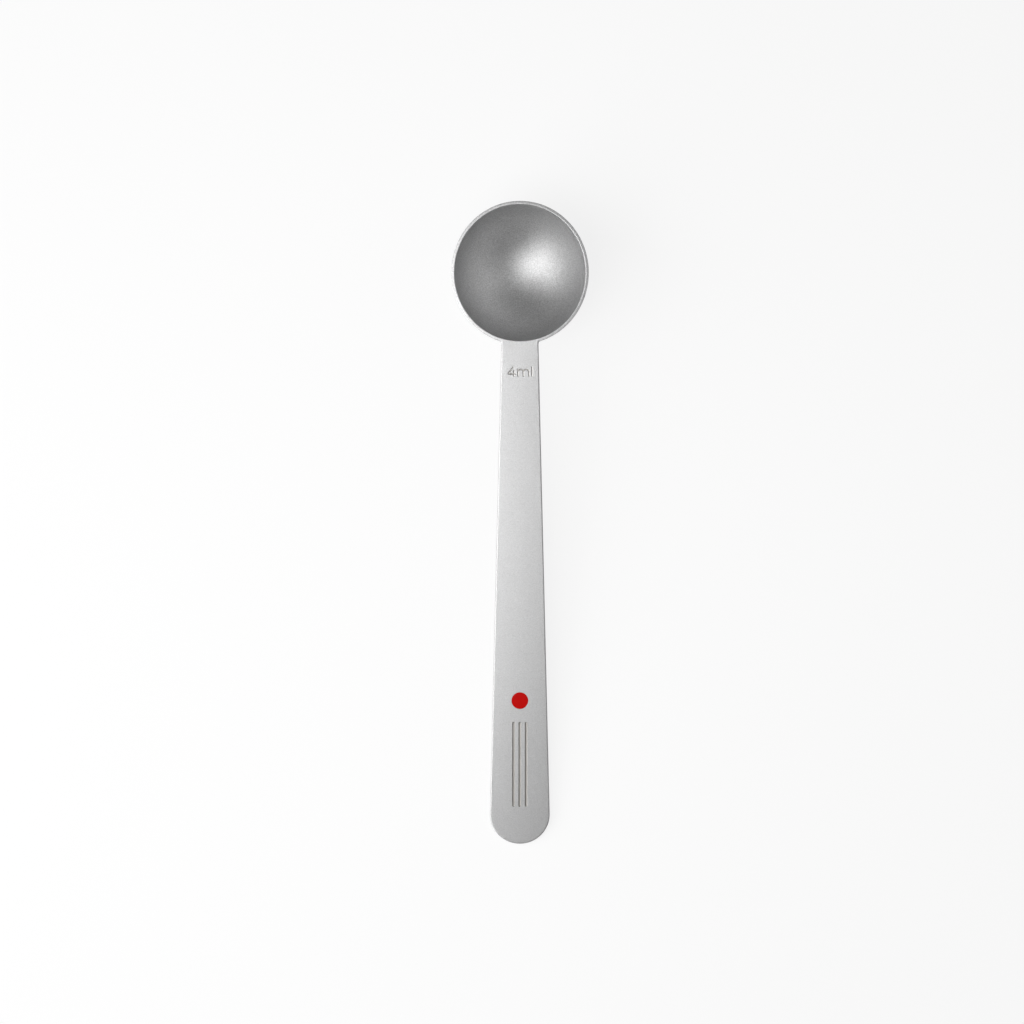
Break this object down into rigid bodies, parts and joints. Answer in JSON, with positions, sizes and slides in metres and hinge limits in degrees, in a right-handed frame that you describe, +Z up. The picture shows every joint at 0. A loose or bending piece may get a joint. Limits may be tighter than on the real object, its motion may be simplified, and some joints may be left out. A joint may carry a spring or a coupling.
{
  "type": "measuring spoon",
  "caption": "One-piece steel measuring spoon with a deep, slightly oval bowl and a flat handle that widens to a round end, with a round colour mark and pressed flutes.",
  "frame": {"origin": "on the table under the centre of the spoon's box, as the spoon lies at rest", "axes": "+Y from the round end of the handle to the bowl, +Z up, +X to the right when the bowl points away"},
  "size_m": [0.0256, 0.1214, 0.0143],
  "materials": {
    "steel": "fine satin, bead-blasted",
    "enamel": "gloss red enamel in the round seat"
  },
  "bodies": {
    "root": {"spoon": "steel"}
  },
  "joints": []
}
